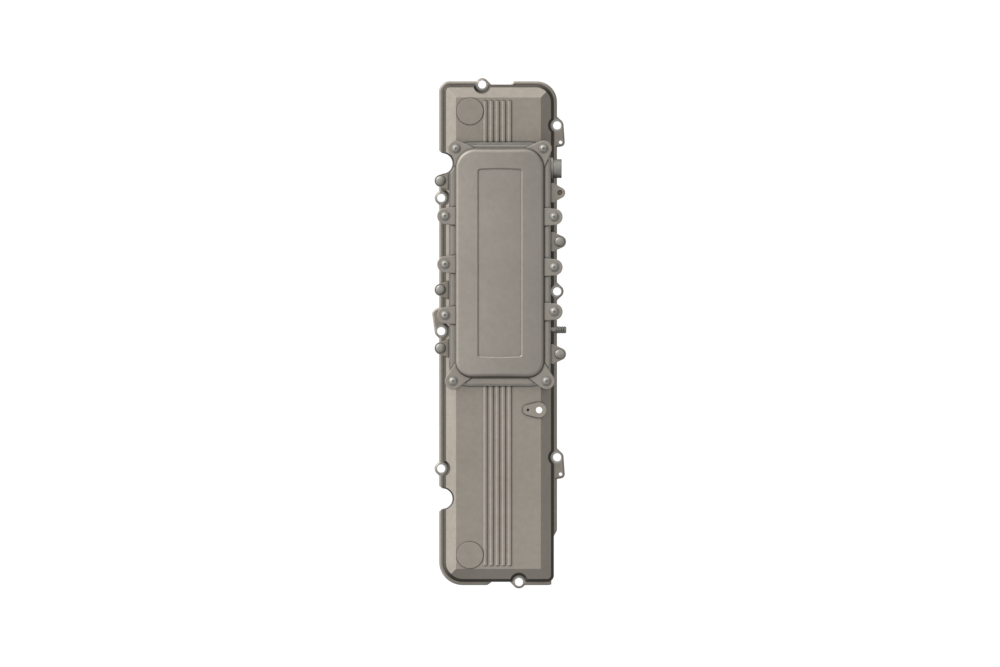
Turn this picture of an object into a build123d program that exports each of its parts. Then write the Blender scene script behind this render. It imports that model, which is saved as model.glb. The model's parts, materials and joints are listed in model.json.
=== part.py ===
from build123d import *
import os
from math import atan2, degrees, radians, sqrt, tan

os.makedirs("parts", exist_ok=True)

# A cast cover for the cylinder head of a heavy six-cylinder diesel engine, with a crankcase
# breather in a raised chamber on its front half. Millimetres, +Z up. X runs across the engine,
# +Y towards the front, and the origin is at the middle of the sealing plane.

# ---------------------------------------------------------------- driving dimensions

# Body of the casting
BODY_LENGTH = 974.4  # over the walls, at the sealing plane
BODY_WIDTH = 217.2  # over the walls, at the sealing plane
WALL_DRAFT = 4.0  # degrees
WALL = 5.0
SHOULDER_HEIGHT = 84.0  # where the bevel starts
BEVEL = 19.5  # run and rise of the bevel round the roof
FRONT_LEFT_RADIUS = 14.0
FRONT_RIGHT_RADIUS = 35.0
REAR_RIGHT_RADIUS = 13.0
REAR_LEFT_RADIUS = 38.0

# Flange
FLANGE_HEIGHT = 12.0
FLANGE_LEFT = 7.7  # how far the flange stands out of each wall
FLANGE_RIGHT = 6.0
FLANGE_ENDS = 6.2
FLANGE_BEVEL = 3.0  # of its upper outer edge
FLANGE_RADII = (20.0, 46.0, 18.0, 40.0)  # front left, rear left, rear right, front right
GAP_DEPTH = 5.0  # of the cuts that leave gaps in the flange, into the wall
FRONT_GAP_FOOT = 18.0  # from the front hole to here, at the wall and at the flange's edge
FRONT_GAP_EDGE = 31.2
REAR_GAP_FOOT = -6.0
REAR_GAP_EDGE = -23.5
SIDE_GAP_FOOT = 80.0  # the right side's gap, from the rear end
SIDE_GAP_EDGE = 103.0

# Mounting holes
MOUNT_HOLE_RADIUS = 8.0
MOUNT_LUG_RADIUS = 12.7
MOUNT_LUG_FOOT = 17.0  # half-width of a lug where it leaves the flange
MOUNT_LUG_ROOT = 3.0  # the small radius there
MOUNT_LUG_ROOT_IN = 4.0  # and how far in from the hole it lies
POCKET_RADIUS = 14.2  # cleared round each hole for a socket, at the flange
POCKET_DRAFT = 2.8  # degrees
RIGHT_HOLE_LINE = 6.2  # the holes' centres, out from the wall
LEFT_HOLE_LINE = 3.8
RIGHT_HOLE_PITCH = 325.0  # two cylinders
RIGHT_HOLES_FROM_FRONT = 80.2
LEFT_HOLES_FROM_FRONT = (222.2, 483.1, 752.2)
FRONT_HOLE_X = -32.1
REAR_HOLE_X = 40.0
BRACKET_HOLE_RADIUS = 3.3
BRACKET_LUG_RADIUS = 8.4
BRACKET_LUG_OUT = 6.7  # from its mounting hole
BRACKET_LUG_DOWN = 33.1
PLAIN_LUG_RADIUS = 10.0
PLAIN_LUG_OUT = 7.4
PLAIN_LUG_ALONG = 34.0
PLAIN_LUG_REACH = 48.0
LUG_ROOT = 2.0

# Notches for the pipes that pass the left side
NOTCH_RADIUS = 20.0  # at the sealing plane
NOTCH_DRAFT = 1.8  # degrees
NOTCH_OUT = 1.5  # the centre, out from the wall
NOTCH_MOUTH = 26.0  # half-width where the notch leaves the flange
NOTCHES_FROM_FRONT = (154.8, 811.1)
NOTCH_WALL = 9.5
POCKET_WALL = 8.5

# Ribs, round pads and sensor seat on the roof
RIB_COUNT = 5
RIB_PITCH = 11.95
RIB_WIDTH = 8.0
RIB_RISE = 2.6
RIB_CREST = 4.0  # its flat top
RIB_STEEP_RUN = 1.2  # of its right side
RIB_CENTRE_X = -1.9
RIB_END_MARGIN = 6.8
PAD_RADIUS = 26.0
PAD_RISE = 2.0
PAD_EDGE_MARGIN = 27.2
SENSOR_BEHIND_CHAMBER = 47.3
SENSOR_HOLE_RADIUS = 6.3
SENSOR_HOLE_INSIDE = 3.8  # the hole's centre, in from the edge of the roof
SENSOR_SEAT_RADIUS = 15.0
SENSOR_SCREW_RADIUS = 2.6
SENSOR_SCREW_REACH = 21.5
SENSOR_SCREW_SEAT_RADIUS = 10.0
SENSOR_SEAT_RISE = 5.0
SENSOR_HOLE_DEPTH = 50.0  # through the roof
SENSOR_SCREW_DEPTH = 3.0  # into the roof, below its seat

# Breather chamber
CHAMBER_LENGTH = 477.0
CHAMBER_FROM_FRONT = 113.3
CHAMBER_LEFT_STEP = 6.1  # the chamber's left wall, in from the shoulder
CHAMBER_RIGHT_STEP = 0.6
CHAMBER_RISE = 13.5  # of its rim above the roof
CHAMBER_WALL = 6.0
CHAMBER_CORNER_RADIUS = 40.0
CHAMBER_ROOT = 10.0  # how far its walls reach down past the shoulder
BAFFLE_HEIGHT = 68.0  # underside of the chamber's inner walls
PARTITION = 5.0

# Lid
LID_SIDE_MARGIN = 10.6  # the foot of the lid's dome, in from the rim
LID_FRONT_MARGIN = 9.6
LID_REAR_MARGIN = 14.0
LID_CORNER_RADIUS = 41.0
LID_REAR_CORNER_RADIUS = 34.0
LID_FLANGE = 5.0
LID_FLANGE_SIDE_STEP = 3.0  # the lid's flange, in from the rim
LID_FLANGE_FRONT_STEP = 5.6
LID_HEIGHT = 24.0  # above its gasket, at the crown
LID_WALL = 5.0
LID_DRAFT = 14.0  # degrees
LID_CROWN_RADIUS = 560.0
LID_EDGE_ROUNDING = 6.0
RECESS_WIDTH = 91.8  # at the level of the crown's top
RECESS_END_MARGIN = 40.5  # from the foot of the dome
RECESS_DEPTH = 2.6
RECESS_CORNER = 7.0
RECESS_DRAFT = 45.0  # degrees
LID_GASKET = 1.2

# Ears of the lid and the columns below them
EAR_RADIUS = 16.0
EAR_HEIGHT = 9.0
EAR_HALF_WIDTH = 17.5
EAR_CORNER = 1.0  # the small radius of its inner corners
EAR_OUT = 7.5  # the screws of the side ears, out from the rim
COLUMN_RADIUS = 14.5
COLUMN_DEPTH = 52.0
COLUMN_HOLE_WALL = 4.5
LEFT_EARS_FROM_FRONT = (144.4, 239.0, 338.8)  # from the rim's front edge
RIGHT_EARS_FROM_FRONT = (146.1, 244.8, 331.8)
CORNER_EAR_SPREAD = 32.0  # how far along the lid a corner ear reaches
CORNER_EAR_ROOT = 3.0
FRONT_EAR_IN = 13.6  # the front corner screws, in from the rim's sides
FRONT_EAR_END = 12.4
REAR_EAR_IN = 7.8
REAR_EAR_END = 9.0

# Screws
SHANK_SIDES = 8
HEAD_SIDES = 16
SCREW_SHANK = 3.9
SCREW_CLEARANCE = 0.35
LID_SCREW_HEAD = 9.0
LID_SCREW_HEAD_HEIGHT = 6.0
LID_SCREW_LENGTH = 35.0  # below the head
LID_SCREW_TOP = 6.4

# Side bosses with their plugs
BOSS_RADIUS = 12.0
BOSS_TOP = 90.0
BOSS_DEPTH = 34.0
BOSS_WEB = 19.0  # half-width of its web at the wall
BOSS_WEB_ROOT = 3.0  # how far the web reaches into the wall
BOSS_WEB_STRAIGHT = 8.0  # how far a right web keeps its width
BOSS_OUT = 18.3  # the centre, out from the rim
LEFT_BOSS_OUT = 16.6
LEFT_BOSSES_FROM_FRONT = (75.4, 288.9, 403.4)  # from the rim's front edge
RIGHT_BOSSES_FROM_FRONT = (98.9, 194.9, 414.8)
BOSS_HOLE = 5.3
BOSS_HOLE_DEPTH = 24.0
OPEN_BOSS_RADIUS = 10.4
PLUG_HEAD = 9.6
PLUG_TOP = 6.6
PLUG_RISE = 4.6
PLUG_SHANK_LENGTH = 16.0
PLUG_CLEARANCE = 0.2

# Pipes on the right side
PIPE_HEIGHT = 94.0
OUTLET_FROM_FRONT = 51.5  # from the rim's front edge
OUTLET_RADIUS = 18.4
OUTLET_WALL = 2.4
OUTLET_REACH = 21.6  # out of the wall
OUTLET_COLLAR = 22.0
OUTLET_COLLAR_REACH = 4.5
OUTLET_SHOULDER = 0.6  # the pressed end is thinner by this
OUTLET_CHAMFER = 1.0
NIPPLE_FROM_FRONT = 367.4
NIPPLE_BORE = 3.2
NIPPLE_NECK = 5.2
NIPPLE_BARB = 7.4
NIPPLE_BARB_ROOT = 5.6
NIPPLE_BARBS = 4
NIPPLE_BARB_PITCH = 4.6
NIPPLE_NECK_LENGTH = 12.4
PRESS_GAP = 0.1
DRILL_START = 20.0  # the pipes' holes are drilled from this far inside the wall
DRILL_LENGTH = 60.0

# Seal of the flange
SEAL_WIDTH = 3.6
SEAL_HEIGHT = 6.6
SEAL_PROUD = 1.6
SEAL_OFFSET = 2.2  # out from the flange's inner edge
FLANGE_FOOT = 8.6  # from the outside of the wall to the flange's inner edge
SEAL_CLEARANCE = 0.2

# Inside the chamber
BAFFLE_THICKNESS = 1.5
BAFFLE_GAP = 1.0
LEFT_BAFFLES_FROM_FRONT = (435.9, 307.9, 168.9)  # from the rim's front edge
RIGHT_BAFFLES_FROM_FRONT = (435.9, 343.9, 168.9)
FRONT_BAFFLE_XS = (-45.0, 45.0)
BAFFLE_BOSS = 9.0
BAFFLE_BOSS_HEIGHT = 21.0
BAFFLE_BOSS_INSET = 7.5
BAFFLE_HEAD = 6.5
BAFFLE_HEAD_HEIGHT = 4.0
BAFFLE_SHANK = 2.9
BAFFLE_SCREW_LENGTH = 14.0
INLET_LENGTH = 60.0
INLET_WIDTH = 22.0
INLET_COUNT = 3
INLET_PITCH = 35.0
INLET_FROM_FRONT = 413.9
SEPARATOR_FROM_FRONT = 247.9
SEPARATOR_LENGTH = 70.0
SEPARATOR_HEIGHT = 42.0
SEPARATOR_SIDE_GAP = 2.0
FRAME_THICKNESS = 1.5
FRAME_FOOT = 12.0
PACK_GAP = 0.3
PACK_EDGE_GAP = 2.0
GRILLE_SLOTS = 9
GRILLE_SLOT_WIDTH = 9.0
GRILLE_MARGIN = 7.0
DRAIN_FROM_FRONT = 137.9
DRAIN_RADIUS = 8.0
DRAIN_WALL = 1.5
DRAIN_LENGTH = 42.0
DRAIN_FLANGE = 13.0
VALVE_THICKNESS = 1.6
VALVE_SLEEVE = 12.0  # how far the valve reaches up the tube
VALVE_BILL = 14.0
VALVE_LIP = 2.4

PAST = 1.0  # how far a cut runs past a face, and a raised piece into one
POINT = 0.1  # the radius of a sharp corner in a hull

# ---------------------------------------------------------------- levels and edges

FLANGE_BOTTOM = SEAL_PROUD
FLANGE_TOP = SEAL_PROUD + FLANGE_HEIGHT
ROOF = SHOULDER_HEIGHT + BEVEL
RIM = ROOF + CHAMBER_RISE
LID_BASE = RIM + LID_GASKET
LID_TOP = LID_BASE + LID_HEIGHT
EAR_TOP = LID_BASE + EAR_HEIGHT

FRONT = BODY_LENGTH / 2
SIDE = BODY_WIDTH / 2
SHOULDER_IN = SHOULDER_HEIGHT * tan(radians(WALL_DRAFT))
SHOULDER_SIDE = SIDE - SHOULDER_IN
ROOF_SIDE = SHOULDER_SIDE - BEVEL
ROOF_END = FRONT - SHOULDER_IN - BEVEL

RIM_LEFT = -SHOULDER_SIDE + CHAMBER_LEFT_STEP
RIM_RIGHT = SHOULDER_SIDE - CHAMBER_RIGHT_STEP
RIM_FRONT = FRONT - CHAMBER_FROM_FRONT
RIM_REAR = RIM_FRONT - CHAMBER_LENGTH
RIM_X = (RIM_LEFT + RIM_RIGHT) / 2

LEFT_LINE = -SIDE - LEFT_HOLE_LINE
RIGHT_LINE = SIDE + RIGHT_HOLE_LINE
RIGHT_YS = [FRONT - RIGHT_HOLES_FROM_FRONT - i * RIGHT_HOLE_PITCH for i in range(3)]
LEFT_YS = [FRONT - d for d in LEFT_HOLES_FROM_FRONT]
SIDE_HOLES = [(LEFT_LINE, y) for y in LEFT_YS] + [(RIGHT_LINE, y) for y in RIGHT_YS]
END_HOLES = [(FRONT_HOLE_X, FRONT), (REAR_HOLE_X, -FRONT)]
MOUNT_HOLES = SIDE_HOLES + END_HOLES
BRACKET_HOLES = [(RIGHT_LINE + BRACKET_LUG_OUT, y - BRACKET_LUG_DOWN) for y in (RIGHT_YS[0], RIGHT_YS[2])]
NOTCHES = [(-SIDE - NOTCH_OUT, FRONT - d) for d in NOTCHES_FROM_FRONT]

# Where the walls bulge inwards, round the pockets and notches
BULGES = [(place, POCKET_RADIUS + POCKET_WALL) for place in MOUNT_HOLES]
BULGES += [(place, NOTCH_RADIUS + NOTCH_WALL) for place in NOTCHES]

LEFT_EAR_X = RIM_LEFT - EAR_OUT
RIGHT_EAR_X = RIM_RIGHT + EAR_OUT
LEFT_EARS = [(LEFT_EAR_X, RIM_FRONT - d) for d in LEFT_EARS_FROM_FRONT]
RIGHT_EARS = [(RIGHT_EAR_X, RIM_FRONT - d) for d in RIGHT_EARS_FROM_FRONT]
SIDE_EARS = LEFT_EARS + RIGHT_EARS
CORNER_EARS = [
    (RIM_LEFT + FRONT_EAR_IN, RIM_FRONT - FRONT_EAR_END),
    (RIM_RIGHT - FRONT_EAR_IN, RIM_FRONT - FRONT_EAR_END),
    (RIM_LEFT + REAR_EAR_IN, RIM_REAR + REAR_EAR_END),
    (RIM_RIGHT - REAR_EAR_IN, RIM_REAR + REAR_EAR_END),
]
LID_SCREWS = CORNER_EARS + SIDE_EARS

LEFT_BOSSES = [(RIM_LEFT - LEFT_BOSS_OUT, RIM_FRONT - d) for d in LEFT_BOSSES_FROM_FRONT]
RIGHT_BOSSES = [(RIM_RIGHT + BOSS_OUT, RIM_FRONT - d) for d in RIGHT_BOSSES_FROM_FRONT]
OPEN_BOSS = RIGHT_BOSSES[0]
PLUGGED_BOSSES = LEFT_BOSSES + RIGHT_BOSSES[1:]

LID_LEFT = RIM_LEFT + LID_SIDE_MARGIN
LID_RIGHT = RIM_RIGHT - LID_SIDE_MARGIN
LID_FRONT = RIM_FRONT - LID_FRONT_MARGIN
LID_REAR = RIM_REAR + LID_REAR_MARGIN
LID_MIDDLE = (LID_FRONT + LID_REAR) / 2

BAFFLE_SIDE = SIDE - WALL - BAFFLE_HEIGHT * tan(radians(WALL_DRAFT)) - BAFFLE_GAP
BAFFLE_SCREW_X = BAFFLE_SIDE - BAFFLE_BOSS_INSET
BAFFLE_SCREWS = [(-BAFFLE_SCREW_X, RIM_FRONT - d) for d in LEFT_BAFFLES_FROM_FRONT]
BAFFLE_SCREWS += [(BAFFLE_SCREW_X, RIM_FRONT - d) for d in RIGHT_BAFFLES_FROM_FRONT]
BAFFLE_SCREWS += [(x, RIM_FRONT - PARTITION - BAFFLE_BOSS) for x in FRONT_BAFFLE_XS]

OUTLET_Y = RIM_FRONT - OUTLET_FROM_FRONT
NIPPLE_Y = RIM_FRONT - NIPPLE_FROM_FRONT
INLET_Y = RIM_FRONT - INLET_FROM_FRONT
SEPARATOR_Y = RIM_FRONT - SEPARATOR_FROM_FRONT
DRAIN_Y = RIM_FRONT - DRAIN_FROM_FRONT

SENSOR = (ROOF_SIDE - SENSOR_HOLE_INSIDE, RIM_REAR - SENSOR_BEHIND_CHAMBER)
SENSOR_SCREW = (SENSOR[0] - SENSOR_SCREW_REACH, SENSOR[1])

SEPARATOR_HALF = BAFFLE_SCREW_X - BAFFLE_BOSS - SEPARATOR_SIDE_GAP

STANDING = (Align.CENTER, Align.CENTER, Align.MIN)

# ---------------------------------------------------------------- shared shapes


def outline(left, right, front, rear, radii):
    """A rectangle with its own radius at each corner: front left, rear left, rear right, front right."""
    corners = [(left, front), (left, rear), (right, rear), (right, front)]
    return make_face(FilletPolyline(*corners, radius=radii, close=True))


def prism(face, bottom, top):
    """The face stood up between two levels."""
    return extrude(Pos(0, 0, bottom) * face, amount=top - bottom)


def drum(place, radius, bottom, top):
    """An upright cylinder between two levels."""
    return Pos(*place, bottom) * Cylinder(radius, top - bottom, align=STANDING)


def drafted(place, radius, bottom, top, draft):
    """An upright cone that widens upwards by its draft."""
    height = top - bottom
    return Pos(*place, bottom) * Cone(radius, radius + height * tan(radians(draft)), height, align=STANDING)


def pocket(place):
    """The space cleared for a socket above a mounting hole."""
    return drafted(place, POCKET_RADIUS, FLANGE_TOP, RIM + PAST, POCKET_DRAFT)


def notch(place):
    """The round notch of a pipe, through everything above the flange."""
    return drafted(place, NOTCH_RADIUS, 0, LID_TOP, NOTCH_DRAFT)


def notch_mouth(place):
    """The mouth of a notch, which widens outwards through the flange."""
    x, y = place
    edge = -SIDE - FLANGE_LEFT - PAST
    corners = [(edge, y + NOTCH_MOUTH), (x, y + NOTCH_RADIUS), (x, y - NOTCH_RADIUS), (edge, y - NOTCH_MOUTH)]
    return prism(make_face(Polyline(*corners, close=True)), 0, FLANGE_TOP + PAST)


def octagon(radius):
    """A regular octagon round a circle."""
    return RegularPolygon(radius, 8, major_radius=False)


def tapped(place, radius, bottom, top):
    """A tapped hole, or the shank in it, drawn plainly with eight sides."""
    return Pos(*place, bottom) * extrude(RegularPolygon(radius, SHANK_SIDES), amount=top - bottom)


def hull(*circles):
    """The tight outline round circles, each given as x, y and radius."""
    edges = [e for x, y, r in circles for e in (Pos(x, y) * Circle(r)).edges()]
    return make_hull(edges)


def body_outline(inset, height):
    """The walls' outline at a height, moved inwards by an inset."""
    move = inset + height * tan(radians(WALL_DRAFT))
    radii = [FRONT_LEFT_RADIUS, REAR_LEFT_RADIUS, REAR_RIGHT_RADIUS, FRONT_RIGHT_RADIUS]
    return outline(move - SIDE, SIDE - move, FRONT - move, move - FRONT, [max(r - move, 1.0) for r in radii])


def body_block(inset, bottom):
    """The bevelled block: drafted walls under a hipped roof, all moved inwards by an inset."""
    height = ROOF - inset - bottom
    walls = extrude(Pos(0, 0, bottom) * body_outline(inset, bottom), amount=height, taper=WALL_DRAFT)
    side = ROOF_SIDE - (sqrt(2) - 1) * inset + height
    end = ROOF_END - (sqrt(2) - 1) * inset + height
    return walls & extrude(Pos(0, 0, bottom) * Rectangle(2 * side, 2 * end), amount=height, taper=45)


def rim_outline(inset):
    """The outline of the chamber's rim, moved inwards by an inset."""
    radius = CHAMBER_CORNER_RADIUS - inset
    return outline(RIM_LEFT + inset, RIM_RIGHT - inset, RIM_FRONT - inset, RIM_REAR + inset, [radius] * 4)


def ear_outline(place):
    """An ear of the lid: round at its screw and wider where it meets the lid."""
    x, y = place
    screw = (x, y, EAR_RADIUS)
    if place in SIDE_EARS:
        root = LID_LEFT + EAR_RADIUS if x < 0 else LID_RIGHT - EAR_RADIUS
        return hull(screw, (root, y + EAR_HALF_WIDTH, EAR_CORNER), (root, y - EAR_HALF_WIDTH, EAR_CORNER))
    inwards = 1 if x < 0 else -1
    along = 1 if y < LID_MIDDLE else -1
    side = (LID_LEFT if x < 0 else LID_RIGHT) + inwards * CORNER_EAR_ROOT
    end = (LID_REAR if y < LID_MIDDLE else LID_FRONT) + along * CORNER_EAR_ROOT
    on_end = (x + inwards * CORNER_EAR_SPREAD, end, CORNER_EAR_ROOT)
    return hull(screw, on_end, (side, y + along * CORNER_EAR_SPREAD, CORNER_EAR_ROOT))


def flange_gaps():
    """The stretches of wall that have no flange: in front, at the rear and at the rear right."""
    edge, side = FRONT + FLANGE_ENDS + PAST, SIDE + FLANGE_RIGHT + PAST
    wall = FRONT - GAP_DEPTH
    front = [(FRONT_HOLE_X, wall), (FRONT_GAP_FOOT, wall), (FRONT_GAP_EDGE, edge), (FRONT_HOLE_X, edge)]
    rear = [(REAR_GAP_FOOT, -wall), (REAR_HOLE_X, -wall), (REAR_HOLE_X, -edge), (REAR_GAP_EDGE, -edge)]
    inner = SIDE - GAP_DEPTH
    right = [(inner, SIDE_GAP_FOOT - FRONT), (side, SIDE_GAP_EDGE - FRONT), (side, -edge), (inner, -edge)]
    return [Polygon(*corners, align=None) for corners in (front, rear, right)]


def mount_lug(place):
    """The lug round a mounting hole, wider where it leaves the flange."""
    x, y = place
    if place in SIDE_HOLES:
        root = x - MOUNT_LUG_ROOT_IN if x > 0 else x + MOUNT_LUG_ROOT_IN
        feet = [(root, y + MOUNT_LUG_FOOT), (root, y - MOUNT_LUG_FOOT)]
    else:
        root = y - MOUNT_LUG_ROOT_IN if y > 0 else y + MOUNT_LUG_ROOT_IN
        feet = [(x + MOUNT_LUG_FOOT, root), (x - MOUNT_LUG_FOOT, root)]
    return hull((x, y, MOUNT_LUG_RADIUS), *[(*foot, MOUNT_LUG_ROOT) for foot in feet])


def flange_outline():
    """The flange with its gaps, its lugs and the lugs for brackets."""
    end = FRONT + FLANGE_ENDS
    face = outline(-SIDE - FLANGE_LEFT, SIDE + FLANGE_RIGHT, end, -end, FLANGE_RADII)
    face = face - flange_gaps() + body_outline(0, 0)
    for place in MOUNT_HOLES:
        face += mount_lug(place)
    for (x, y), mount_y in zip(BRACKET_HOLES, (RIGHT_YS[0], RIGHT_YS[2])):
        root = (SIDE, y - BRACKET_LUG_RADIUS, LUG_ROOT)
        face += hull((RIGHT_LINE, mount_y, MOUNT_LUG_RADIUS), (x, y, BRACKET_LUG_RADIUS), root)
    y = LEFT_YS[1]
    plain = (LEFT_LINE - PLAIN_LUG_OUT, y + PLAIN_LUG_ALONG, PLAIN_LUG_RADIUS)
    return face + hull((LEFT_LINE, y, MOUNT_LUG_RADIUS), plain, (-SIDE, y + PLAIN_LUG_REACH, LUG_ROOT))


def flange():
    """The flange with its upper outer edge bevelled."""
    plate = prism(flange_outline(), FLANGE_BOTTOM, FLANGE_TOP)
    return chamfer(plate.faces().sort_by(Axis.Z)[-1].outer_wire().edges(), FLANGE_BEVEL)


def cavity_outline(grow):
    """The flange's inner edge, which bulges round the mounting holes and notches, moved outwards."""
    face = body_outline(FLANGE_FOOT - grow, 0)
    for place, radius in BULGES:
        face -= Pos(*place) * octagon(radius - grow)
    return face


# ---------------------------------------------------------------- casting


def side_boss(place):
    """A boss beside the chamber and the web that ties it to the wall."""
    x, y = place
    radius = OPEN_BOSS_RADIUS if place == OPEN_BOSS else BOSS_RADIUS
    root = SHOULDER_SIDE - BOSS_WEB_ROOT if x > 0 else RIM_LEFT + BOSS_WEB_ROOT
    corners = [root, root + BOSS_WEB_STRAIGHT] if x > 0 else [root]
    web = [(corner, y + side * BOSS_WEB, POINT) for corner in corners for side in (1, -1)]
    return prism(hull((x, y, radius), *web), BOSS_TOP - BOSS_DEPTH, BOSS_TOP)


def wall_features():
    """What stands on the block: ear columns, side bosses, outlet collar, sensor seat, pads and ribs."""
    features = [drum(place, COLUMN_RADIUS, RIM - COLUMN_DEPTH, RIM) for place in LID_SCREWS]
    features += [side_boss(place) for place in LEFT_BOSSES + RIGHT_BOSSES]
    collar_length = DRILL_START + RIM_RIGHT - SIDE + OUTLET_COLLAR_REACH
    features.append(pipe_hole(SIDE - DRILL_START, OUTLET_Y, OUTLET_COLLAR, collar_length))
    seat = hull((*SENSOR, SENSOR_SEAT_RADIUS), (*SENSOR_SCREW, SENSOR_SCREW_SEAT_RADIUS))
    features.append(prism(seat, SHOULDER_HEIGHT, ROOF + SENSOR_SEAT_RISE))
    for y in (ROOF_END - PAD_EDGE_MARGIN, PAD_EDGE_MARGIN - ROOF_END):
        features.append(drum((PAD_EDGE_MARGIN - ROOF_SIDE, y), PAD_RADIUS, ROOF - PAST, ROOF + PAD_RISE))
    return features + ribs()


def ribs():
    """Ribs along the roof, in front of the chamber and behind it, with one steep side."""
    left, right = -RIB_WIDTH / 2, RIB_WIDTH / 2
    crest, foot = ROOF + RIB_RISE, ROOF - PAST
    crest_right = right - RIB_STEEP_RUN
    top = [(left, ROOF), (crest_right - RIB_CREST, crest), (crest_right, crest), (right, ROOF)]
    profile = Plane.XZ * make_face(Polyline((left, foot), *top, (right, foot), close=True))
    front_end = ROOF_END - RIB_END_MARGIN
    spans = [(RIM_FRONT - CHAMBER_WALL, front_end), (-front_end, RIM_REAR + CHAMBER_WALL)]
    group = []
    for i in range(RIB_COUNT):
        x = RIB_CENTRE_X + (i - (RIB_COUNT - 1) / 2) * RIB_PITCH
        for start, end in spans:
            group.append(Pos(x, end, 0) * extrude(profile, amount=end - start))
    return group


def casting_inside():
    """What is hollow: the space over the valve gear and the chamber above it."""
    chamber_foot = SHOULDER_HEIGHT - 2 * CHAMBER_ROOT
    hollow = body_block(WALL, FLANGE_TOP) + prism(rim_outline(CHAMBER_WALL), chamber_foot, RIM + PAST)
    kept = [prism(Pos(*place) * octagon(radius), 0, RIM + 2 * PAST) for place, radius in BULGES]
    sleeve = SCREW_SHANK + SCREW_CLEARANCE + COLUMN_HOLE_WALL
    sleeve_bottom = EAR_TOP - LID_SCREW_LENGTH - COLUMN_HOLE_WALL
    kept += [drum(place, sleeve, sleeve_bottom, RIM + 2 * PAST) for place in CORNER_EARS]
    return hollow - kept + prism(cavity_outline(0), 0, FLANGE_TOP)


def chamber_fittings():
    """The chamber's inner end walls and the bosses for the baffle's screws, clipped to the inside."""
    height = ROOF - BAFFLE_HEIGHT
    size = 2 * BAFFLE_BOSS
    boss = Box(size, size, BAFFLE_BOSS_HEIGHT, align=STANDING)
    fittings = [Pos(*place, BAFFLE_HEIGHT) * boss for place in BAFFLE_SCREWS]
    for y in (RIM_FRONT - PARTITION, RIM_REAR + PARTITION):
        fittings.append(Pos(0, y, BAFFLE_HEIGHT + height / 2) * Box(BODY_WIDTH, PARTITION, height))
    clip = body_block(WALL / 2, BAFFLE_HEIGHT - PAST)
    return [piece & clip for piece in fittings]


def pipe_hole(start, y, radius, length):
    """A cylinder along X from a start, at the height of the pipes."""
    return Pos(start, y, PIPE_HEIGHT) * Rot(0, 90, 0) * Cylinder(radius, length, align=STANDING)


def casting_holes():
    """Every drilled or tapped hole of the casting."""
    shank = SCREW_SHANK + SCREW_CLEARANCE
    holes = [tapped(place, shank, EAR_TOP - LID_SCREW_LENGTH - PAST, RIM + PAST) for place in LID_SCREWS]
    holes += [drum(place, MOUNT_HOLE_RADIUS, 0, FLANGE_TOP + PAST) for place in MOUNT_HOLES]
    holes += [drum(place, BRACKET_HOLE_RADIUS, 0, FLANGE_TOP + PAST) for place in BRACKET_HOLES]
    depth = BOSS_TOP - BOSS_HOLE_DEPTH
    holes += [tapped(place, BOSS_HOLE, depth, BOSS_TOP + PAST) for place in PLUGGED_BOSSES]
    holes.append(drum(OPEN_BOSS, BOSS_HOLE, depth, BOSS_TOP + PAST))
    seat_top = ROOF + SENSOR_SEAT_RISE + PAST
    holes.append(drum(SENSOR, SENSOR_HOLE_RADIUS, ROOF - SENSOR_HOLE_DEPTH, seat_top))
    holes.append(drum(SENSOR_SCREW, SENSOR_SCREW_RADIUS, ROOF - SENSOR_SCREW_DEPTH, seat_top))
    start = RIM_RIGHT - DRILL_START
    holes.append(pipe_hole(start, OUTLET_Y, OUTLET_RADIUS - OUTLET_SHOULDER + PRESS_GAP, DRILL_LENGTH))
    holes.append(pipe_hole(start, NIPPLE_Y, NIPPLE_NECK + PRESS_GAP, DRILL_LENGTH))
    top = BAFFLE_HEIGHT + BAFFLE_SCREW_LENGTH + PAST
    shank = BAFFLE_SHANK + SCREW_CLEARANCE
    holes += [tapped(place, shank, BAFFLE_HEIGHT - PAST, top) for place in BAFFLE_SCREWS]
    outer = cavity_outline(SEAL_OFFSET + SEAL_WIDTH + SEAL_CLEARANCE)
    inner = cavity_outline(SEAL_OFFSET - SEAL_CLEARANCE)
    return holes + [prism(outer - inner, 0, SEAL_HEIGHT + SEAL_CLEARANCE)]


def cover_casting():
    block = body_block(0, FLANGE_BOTTOM) + prism(rim_outline(0), SHOULDER_HEIGHT - CHAMBER_ROOT, RIM)
    block -= [pocket(place) for place in MOUNT_HOLES]
    block += wall_features() + [flange()]
    block -= [casting_inside()] + [cut(place) for place in NOTCHES for cut in (notch, notch_mouth)]
    return block + chamber_fittings() - casting_holes()


# ---------------------------------------------------------------- breather lid


def lid_outline(inset):
    """The outline of the lid's dome, moved inwards by an inset."""
    radii = [LID_CORNER_RADIUS, LID_REAR_CORNER_RADIUS, LID_REAR_CORNER_RADIUS, LID_CORNER_RADIUS]
    edges = (LID_LEFT + inset, LID_RIGHT - inset, LID_FRONT - inset, LID_REAR + inset)
    return outline(*edges, [r - inset for r in radii])


def lid_crown(drop):
    """A long cylinder whose top is the crown of the lid, lowered by a drop."""
    round_bar = Cylinder(LID_CROWN_RADIUS - drop, 2 * CHAMBER_LENGTH)
    return Pos(RIM_X, LID_MIDDLE, LID_TOP - LID_CROWN_RADIUS) * Rot(90, 0, 0) * round_bar


def lid_dome(inset):
    """The drafted and crowned dome, moved inwards by an inset."""
    walls = extrude(Pos(0, 0, LID_BASE) * lid_outline(inset), amount=LID_HEIGHT, taper=LID_DRAFT)
    return walls & lid_crown(inset)


def lid_flange_outline():
    """The outline of the lid's flange, which leaves a ledge of the rim bare all round."""
    left, right = RIM_LEFT + LID_FLANGE_SIDE_STEP, RIM_RIGHT - LID_FLANGE_SIDE_STEP
    front, rear = RIM_FRONT - LID_FLANGE_FRONT_STEP, RIM_REAR + LID_FLANGE_SIDE_STEP
    return outline(left, right, front, rear, [CHAMBER_CORNER_RADIUS] * 4)


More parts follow.
